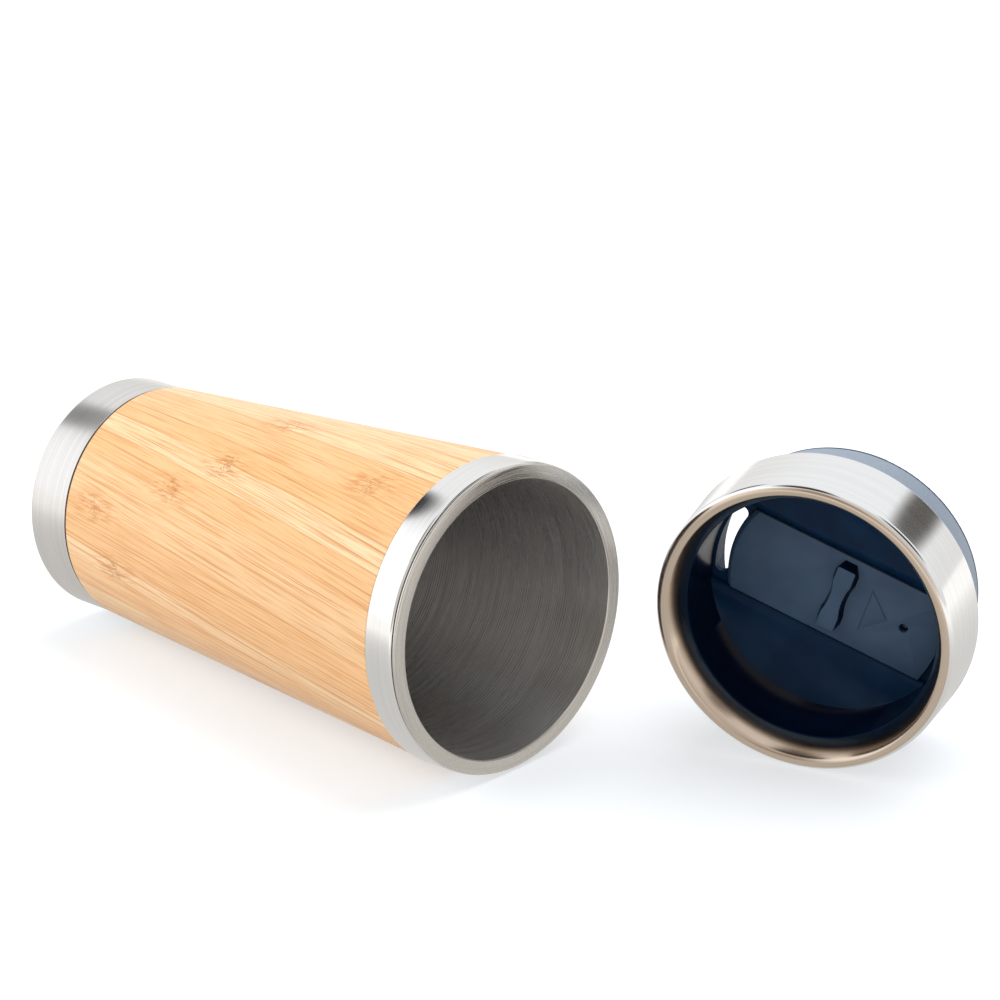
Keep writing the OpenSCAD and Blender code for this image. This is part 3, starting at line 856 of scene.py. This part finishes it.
@dataclass
class Mug(Assembly):
    """The flask, its bamboo sleeve, its collar and its foot. Sizes in millimetres."""

    height: float = 163.0
    rim_r: float = 43.0
    mouth_r: float = 38.75
    wall: float = 0.5
    lip: float = 1.0
    lip_edge: float = 0.5
    lip_roll: float = 0.49
    lip_satin_h: float = 1.2
    neck_z: float = 146.0
    liner_floor_r: float = 26.9
    liner_floor_z: float = 14.0
    liner_corner: float = 7.0
    neck_curve: float = 14.0
    sheet_edge: float = 0.15
    collar_r: float = 43.3
    collar_top_r: float = 43.125
    collar_z: float = 152.3
    collar_top_z: float = 161.6
    collar_edge: float = 0.7
    collar_hem_r: float = 41.9
    shoulder_r: float = 42.95
    shoulder_z: float = 152.0
    spigot_r: float = 42.5
    spigot_z: float = 158.5
    bore_r: float = 40.75
    bore_z: float = 150.0
    sleeve_low_r: float = 34.9
    sleeve_low_z: float = 16.8
    sleeve_foot_r: float = 33.95
    sleeve_foot_z: float = 8.8
    sleeve_bore_r: float = 30.95
    sleeve_edge: float = 0.3
    band_r: float = 34.7
    band_z: float = 16.2
    band_wall: float = 0.6
    foot_edge: float = 1.6
    foot_in_r: float = 27.0
    foot_bevel: float = 1.4
    foot_step: float = 1.5
    foot_fold: float = 0.6
    foot_fold_in: float = 0.3

    def build(self) -> None:
        """Builds and dresses every piece of the mug."""
        self.build_liner()
        self.build_collar()
        self.build_sleeve()
        self.build_foot()
        self.dress_node("rim_seal", Dull.BLACK.value)
        self.dress_node("base_seal", Dull.BROWN.value)
        self.dress_node("outer_shell", Steel.SHELL.value)
        self.dress_node("shell_bottom", Steel.SHELL.value)
        self.dress_node("base_insert", PLASTIC)
        self.dress_node("getter", Dull.POWDER.value)
        self.dress_node("vacuum_seal", Dull.BEAD.value)

    def build_liner(self) -> None:
        """Builds the drawn cup with its rolled lip."""
        outer_r = self.mouth_r + self.wall
        low_z = self.height - self.lip
        under_z = self.liner_floor_z - self.wall
        outline = [
            Corner(0, under_z),
            Corner(self.liner_floor_r + self.wall, under_z, self.liner_corner + self.wall),
            Corner(outer_r, self.neck_z),
            Corner(outer_r, low_z),
            Corner(self.rim_r, low_z, self.lip_roll),
            Corner(self.rim_r, self.height, self.lip_roll),
            Corner(self.mouth_r, self.height, self.lip_edge),
            Corner(self.mouth_r, self.neck_z, self.neck_curve),
            Corner(self.liner_floor_r, self.liner_floor_z, self.liner_corner),
            Corner(0, self.liner_floor_z),
        ]
        liner = self.turned("liner", outline, closed=False)
        self.dress(liner, Steel.LINER.value, "brushed_steel", "inner_liner")
        satin_z = self.height - self.lip_satin_h
        lip = Zone(self.mouth_r - SLACK_MM, self.rim_r + SLACK_MM, satin_z, self.height + SLACK_MM)
        self.dress_where(liner, Steel.LIP.value, lip)

    def build_collar(self) -> None:
        """Builds the thin collar whose top edge turns in over the sleeve's spigot."""
        t = self.wall
        outline = [
            Corner(self.collar_r, self.collar_z, self.sheet_edge),
            Corner(self.collar_top_r, self.collar_top_z, self.collar_edge),
            Corner(self.collar_hem_r, self.collar_top_z, self.sheet_edge),
            Corner(self.collar_hem_r, self.collar_top_z - t),
            Corner(self.collar_top_r - t, self.collar_top_z - t, self.collar_edge - t),
            Corner(self.collar_r - t, self.collar_z),
        ]
        collar = self.turned("collar", outline)
        self.dress(collar, Steel.COLLAR.value, "polished_steel", "rim_collar")

    def build_sleeve(self) -> None:
        """Builds the bamboo sleeve with its shoulder, spigot and foot."""
        e = self.sleeve_edge
        outline = [
            Corner(self.sleeve_bore_r, self.sleeve_foot_z),
            Corner(self.sleeve_foot_r, self.sleeve_foot_z, e),
            Corner(self.sleeve_foot_r, self.sleeve_low_z),
            Corner(self.sleeve_low_r, self.sleeve_low_z, e),
            Corner(self.shoulder_r, self.shoulder_z, e),
            Corner(self.spigot_r, self.shoulder_z),
            Corner(self.spigot_r, self.spigot_z, e),
            Corner(self.bore_r, self.spigot_z),
            Corner(self.bore_r, self.bore_z),
        ]
        sleeve = self.turned("sleeve", outline)
        self.dress(sleeve, BAMBOO, "bamboo", "bamboo_sleeve")

    def build_foot(self) -> None:
        """Builds the brushed cup at the foot."""
        t = self.band_wall
        in_r = self.foot_in_r - self.foot_bevel
        outline = [
            Corner(0, self.foot_step),
            Corner(in_r, self.foot_step, self.foot_fold),
            Corner(self.foot_in_r, 0, self.foot_fold),
            Corner(self.band_r, 0, self.foot_edge),
            Corner(self.band_r, self.band_z, self.sheet_edge),
            Corner(self.band_r - t, self.band_z),
            Corner(self.band_r - t, t, self.foot_edge - t),
            Corner(self.foot_in_r + t / 2, t, self.foot_fold_in),
            Corner(in_r + t / 2, self.foot_step + t, self.foot_fold_in),
            Corner(0, self.foot_step + t),
        ]
        foot = self.turned("foot_cup", outline, closed=False)
        self.dress(foot, Steel.BAND.value, "brushed_steel", "base_cup")


@dataclass
class Lid(Assembly):
    """The lid's steel ring, its plastic well and its gasket.

    Sizes in millimetres; the steps of an arc are those of the sheet's inner and of its outer face.
    """

    ring_r: float = 42.93
    ring_top_r: float = 42.11
    bead_z: float = 18.8
    bead_e: float = 2.0
    sheet: float = 0.6
    hem_r: float = 40.4
    lip_r: float = 35.64
    lip_z: float = 13.96
    funnel_curve: float = 17.5
    hem_edge: float = 0.2
    ring_foot_edge: float = 0.4
    funnel_steps: tuple[int, int] = (14, 16)
    bead_steps: tuple[int, int] = (16, 20)
    well_r: float = 35.45
    floor_z: float = -4.47
    well_edge: float = 0.18
    # Band of the well's wall that gets the darker plastic, as painted shade.
    painted_shade_in: float = 0.3
    painted_shade_out: float = 0.15
    painted_shade_foot: float = 0.3
    gasket_in_r: float = 37.0
    plug_r: float = 37.87
    gasket_foot_z: float = -15.4
    gasket_lip_r: float = 39.1
    gasket_lip_t: float = 0.6
    gasket_pitch: float = 2.0
    gasket_relief_w: float = 0.37
    gasket_relief_h: float = 1.2
    gasket_relief_edge: float = 0.15
    gasket_foot_edge: float = 0.05
    gasket_root_edge: float = 0.1
    gasket_lip_edge: float = 0.2

    def build(self) -> None:
        """Builds and dresses every piece of the lid."""
        self.build_ring()
        self.build_gasket()
        well = self.moulding("well", "lid_well", self.well_edge)
        self.dress(well, PLASTIC, "black_plastic", "lid_well")
        # The well's wall gets the darker plastic: painted shade inside the lid.
        low_z = self.floor_z + self.painted_shade_foot
        painted_shade_bore = Zone(self.well_r - self.painted_shade_in, self.well_r + self.painted_shade_out, low_z, self.lip_z)
        self.dress_where(well, GLOSSY_PAINTED_SHADE, painted_shade_bore)

    def build_ring(self) -> None:
        """Builds the ring: outer wall, rolled bead and curved funnel, one sheet with a hem below."""
        t, e, curve = self.sheet, self.bead_e, self.funnel_curve
        lip, bead = Vector((self.lip_r, self.lip_z)), Vector((self.ring_top_r - e, self.bead_z))
        chord = bead - lip
        run = chord.length
        off = (curve**2 - (curve - e) ** 2 + run**2) / (2 * run)
        along = chord / run
        hub = lip + along * off + Vector((along.y, -along.x)) * math.sqrt(curve**2 - off**2)
        lip_angle = math.atan2(lip.y - hub.y, lip.x - hub.x)
        top_angle = math.atan2(bead.y - hub.y, bead.x - hub.x)
        outline = [
            *self.arc(hub, curve - t, lip_angle, top_angle, self.funnel_steps[0]),
            *self.arc(bead, e - t, top_angle, 0.0, self.bead_steps[0]),
            Corner(self.ring_r - t, t, self.hem_edge),
            Corner(self.hem_r, t, self.hem_edge),
            Corner(self.hem_r, 0, self.hem_edge),
            Corner(self.ring_r, 0, self.ring_foot_edge),
            *self.arc(bead, e, 0.0, top_angle, self.bead_steps[1]),
            *self.arc(hub, curve, top_angle, lip_angle, self.funnel_steps[1]),
        ]
        ring = self.turned("ring", outline)
        self.dress(ring, Steel.RING.value, "polished_steel", "lid_ring")
        # The funnel and the inner side of the bead get the beige steel, a painted warm reflection.
        painted_reflection_zone = Zone(0, bead.x + e / 2, self.lip_z - SLACK_MM, self.bead_z + e + SLACK_MM)
        self.dress_where(ring, Steel.FUNNEL_PAINTED_REFLECTION.value, painted_reflection_zone)

    @staticmethod
    def arc(hub: Vector, radius: float, start: float, end: float, steps: int) -> list[Corner]:
        """Corners along an arc of an outline.

        Args:
            hub: Middle of the arc.
            radius: Radius of the arc.
            start: Angle at its first corner, in radians.
            end: Angle at its last corner.
            steps: Number of steps between them.

        Returns:
            The corners in order, both ends included.
        """
        angles = [start + (end - start) * step / steps for step in range(steps + 1)]
        return [Corner(hub.x + radius * math.cos(a), hub.y + radius * math.sin(a)) for a in angles]

    def build_gasket(self) -> None:
        """Builds the gasket that covers the plug, with two soft lips and a relief under them."""
        lips: list[Corner] = []
        lowest = self.sheet - 2 * self.gasket_pitch
        roots = ((self.plug_r - self.gasket_relief_w, lowest), (self.plug_r, lowest + self.gasket_pitch))
        for root_r, low in roots:
            lips += [
                Corner(root_r, low, self.gasket_root_edge),
                Corner(self.gasket_lip_r, low, self.gasket_lip_edge),
                Corner(self.gasket_lip_r, low + self.gasket_lip_t, self.gasket_lip_edge),
            ]
        outline = [
            Corner(self.gasket_in_r, self.gasket_foot_z),
            Corner(self.plug_r, self.gasket_foot_z, self.gasket_foot_edge),
            Corner(self.plug_r, lowest - self.gasket_relief_h, self.gasket_relief_edge),
            *lips,
            Corner(self.plug_r, self.sheet),
            Corner(self.gasket_in_r, self.sheet),
        ]
        gasket = self.turned("gasket", outline)
        self.dress(gasket, Dull.GREY.value, "silicone", "lid_gasket")


@dataclass
class Slider(Assembly):
    """The hatch that runs in the lid's channel and the clip that holds it. Sizes in millimetres."""

    top_z: float = -3.87
    tab_h: float = 2.5
    tab_reach: float = 20.0
    flank_foot: float = 0.02
    flank_edge: float = 0.3
    hatch_edge: float = 0.14
    clip_edge: float = 0.2

    def build(self) -> None:
        """Builds and dresses the hatch and its clip."""
        # The hatch gets the lighter plastic, whose colour is painted sheen.
        hatch = self.moulding("hatch", "slider", self.hatch_edge)
        self.dress(hatch, HATCH_PAINTED_SHEEN, "black_plastic", "slider")
        # The tab's sides get the darker plastic: painted shade that outlines the tab.
        high_z = self.top_z + self.tab_h - self.flank_edge
        painted_shade_flanks = Zone(0, self.tab_reach, self.top_z + self.flank_foot, high_z)
        self.dress_where(hatch, GLOSSY_PAINTED_SHADE, painted_shade_flanks)
        clip = self.moulding("hatch_clip", "slider_clip", self.clip_edge)
        self.dress(clip, PLASTIC, "black_plastic", "slider_clip")


@dataclass(frozen=True)
class Card:
    """A soft-edged card of the surroundings, which only the steel and the plastic mirror."""

    towards: tuple[float, float, float]
    half_angle: float
    softness: float
    colour: str
    strength: float = 1.0

    def lay_over(self, tree: NodeTree, direction: NodeSocket, room: Node) -> Node:
        """Lays the card over what is behind it.

        Args:
            tree: Node tree of the world.
            direction: Direction of the mirrored ray.
            room: Colour behind the card.

        Returns:
            The Mix node whose colour has the card in place.
        """
        middle = Vector(self.towards).normalized()
        near = add(tree, "ShaderNodeVectorMath", {0: direction, 1: middle}, operation="DOT_PRODUCT")
        outer, inner = (
            math.cos(math.radians(angle)) for angle in (self.half_angle + self.softness, self.half_angle)
        )
        share = add(tree, "ShaderNodeMapRange", Fade(outer, inner).over(near), **SMOOTH)
        light = tuple(self.strength * value for value in linear(self.colour)[:3])
        return add(tree, "ShaderNodeMix", blend(share, room, (*light, 1.0)), data_type="RGBA")


@dataclass(frozen=True)
class Softbox:
    """A square lamp that lights the scene without being mirrored. Lengths in metres, power in watts."""

    name: str
    place: tuple[float, float, float]
    aim: tuple[float, float, float]
    size: float
    power: float

    def hang(self) -> None:
        """Hangs the lamp and turns it to the point that it faces."""
        lamp = bpy.data.lights.new(self.name, "AREA")
        lamp.size = self.size
        lamp.energy = self.power
        hung = bpy.data.objects.new(self.name, lamp)
        hung.location = self.place
        hung.rotation_euler = (Vector(self.aim) - Vector(self.place)).to_track_quat("-Z", "Y").to_euler()
        hung.visible_glossy = False
        bpy.context.scene.collection.objects.link(hung)


def by_ray(tree: NodeTree, light: Node, seen: Node, mirrored: Node) -> Node:
    """Shows one shader to the camera, one to mirrors and one to every other ray.

    Args:
        tree: Node tree of the floor's material or of the world.
        light: Shader that lights other surfaces.
        seen: Shader that the camera sees.
        mirrored: Shader that steel and plastic mirror.

    Returns:
        The joined shader.
    """
    path = add(tree, "ShaderNodeLightPath").outputs
    ends = {0: path["Is Camera Ray"], 1: path["Is Transmission Ray"]}
    direct = add(tree, "ShaderNodeMath", ends, operation="MAXIMUM")
    unseen = add(tree, "ShaderNodeMixShader", {0: path["Is Glossy Ray"], 1: light, 2: mirrored})
    return add(tree, "ShaderNodeMixShader", {0: direct, 1: unseen, 2: seen})


@dataclass
class Studio:
    """Floor, soft light, surroundings and camera. Lengths in metres."""

    floor_half: float = 30.0
    floor_colour: str = "#E2E5EA"
    floor_seen: str = "#C2C8CE"
    floor_glow: float = 0.5
    floor_mirrored: str = "#FFFCF8"
    # How brightly the floor glows in mirrors by distance from the middle: dimmer near it, a painted shadow.
    mirrored_floor_painted_shadow: Fade = Fade(0.1, 0.5, 0.68, 1.2)
    room_low: str = "#F1EFEC"
    room_fade: Fade = Fade(0.0, 0.6)
    soft_light: str = "#F2F1F0"
    soft_strength: float = 0.72
    lens_mm: float = 126.86
    sensor_mm: float = 36.0
    eye: tuple[float, float, float] = (0.63721, -0.64331, 0.43232)
    azimuth: float = 44.64
    pitch: float = 22.337
    cards: tuple[Card, ...] = (
        Card((0.62, -0.66, 0.35), 24, 34, "#D6CFC8", 1.05),
        Card((0.62, 0.35, 0.70), 10, 12, "#35322F"),
        Card((0.00, -0.95, 0.20), 15, 14, "#A89C92", 1.1),
        Card((-0.70, -0.69, 0.14), 28, 22, WHITE, 1.3),
        Card((-0.12, -0.45, 0.85), 12, 9, "#453C36"),
        Card((-0.80, 0.02, 0.60), 6, 7, "#232224"),
        Card((0.08, 0.92, 0.40), 4, 7, "#5C5854"),
    )
    lamps: tuple[Softbox, ...] = (
        Softbox("overhead softbox", (0.05, 0.45, 1.0), (0.0, 0.0, 0.0), 1.1, 8.0),
        Softbox("side softbox", (-0.7, -0.9, 0.6), (0.0, 0.0, 0.03), 0.9, 8.0),
    )

    def build(self) -> None:
        """Sets the floor, the surroundings, the lamps and the camera."""
        self.lay_floor()
        self.surround()
        for lamp in self.lamps:
            lamp.hang()
        self.set_camera()
        bpy.context.scene.view_settings.view_transform = "Standard"

    def lay_floor(self) -> None:
        """Lays the pale floor, which shows white with the object's shadow and glows in mirrors with a painted
        shadow near the middle.
        """
        bm = bmesh.new()
        bmesh.ops.create_grid(bm, x_segments=1, y_segments=1, size=self.floor_half)
        mesh = bpy.data.meshes.new("floor")
        bm.to_mesh(mesh)
        bm.free()
        floor = bpy.data.objects.new("floor", mesh)
        bpy.context.scene.collection.objects.link(floor)
        made = bpy.data.materials.new("White studio paper")
        made.use_nodes = True
        tree = made.node_tree
        tree.nodes.clear()
        paper = add(tree, "ShaderNodeBsdfDiffuse", {"Color": linear(self.floor_colour)})
        glow = add(tree, "ShaderNodeEmission", {"Color": linear(WHITE), "Strength": self.floor_glow})
        shaded = add(tree, "ShaderNodeBsdfDiffuse", {"Color": linear(self.floor_seen)})
        seen = add(tree, "ShaderNodeAddShader", {0: shaded, 1: glow})
        # To mirrors the floor glows, dimmer within half a metre of the middle: a painted shadow of the objects.
        place = add(tree, "ShaderNodeNewGeometry").outputs["Position"]
        away = add(tree, "ShaderNodeVectorMath", {0: place}, operation="LENGTH")
        strength = add(tree, "ShaderNodeMapRange", self.mirrored_floor_painted_shadow.over(away), **SMOOTH)
        bright = {"Color": linear(self.floor_mirrored), "Strength": strength}
        mirrored = add(tree, "ShaderNodeEmission", bright)
        add(tree, "ShaderNodeOutputMaterial", {"Surface": by_ray(tree, paper, seen, mirrored)})
        mesh.materials.append(made)

    def surround(self) -> None:
        """Sets a white backdrop, even light from all round and the room that the steel mirrors."""
        world = bpy.data.worlds.new("Studio")
        world.use_nodes = True
        bpy.context.scene.world = world
        tree = world.node_tree
        tree.nodes.clear()
        direction = add(tree, "ShaderNodeTexCoord").outputs["Generated"]
        height = add(tree, "ShaderNodeSeparateXYZ", {0: direction}).outputs[2]
        upper = add(tree, "ShaderNodeMapRange", self.room_fade.over(height), **SMOOTH)
        shades = blend(upper, linear(self.room_low), linear(WHITE))
        room = add(tree, "ShaderNodeMix", shades, data_type="RGBA")
        for card in self.cards:
            room = card.lay_over(tree, direction, room)
        light, seen, mirrored = (
            add(tree, "ShaderNodeBackground", {"Color": colour, "Strength": strength})
            for colour, strength in (
                (linear(self.soft_light), self.soft_strength),
                (linear(WHITE), 1.0),
                (room, 1.0),
            )
        )
        add(tree, "ShaderNodeOutputWorld", {"Surface": by_ray(tree, light, seen, mirrored)})

    def set_camera(self) -> None:
        """Sets the camera at the photograph's angle."""
        lens = bpy.data.cameras.new("camera")
        lens.lens = self.lens_mm
        lens.sensor_width = self.sensor_mm
        camera = bpy.data.objects.new("camera", lens)
        camera.location = self.eye
        turn, dip = math.radians(self.azimuth), math.radians(self.pitch)
        look = Vector((-math.sin(turn) * math.cos(dip), math.cos(turn) * math.cos(dip), -math.sin(dip)))
        camera.rotation_euler = look.to_track_quat("-Z", "Y").to_euler()
        bpy.context.scene.collection.objects.link(camera)
        bpy.context.scene.camera = camera


def main() -> None:
    """Builds the mug, its lid, its slider and the studio."""
    logging.basicConfig(level=logging.INFO, format="%(message)s")
    run = next(j for j in frame["joints"] if j["name"] == "slider_run")
    channel = -Vector(run["axis"])
    mug_place = placement_from("mouth", "foot", Vector((0, -1, 1)), flip=False)
    lid_place = placement_from("lid_plug", "lid_seat", channel, flip=True)
    for assembly in (Mug(mug_place, "mug"), Lid(lid_place, "lid"), Slider(lid_place, "slider")):
        assembly.build()
        log.info("%s built", assembly.body)
    Studio().build()


if __name__ == "__main__":
    main()
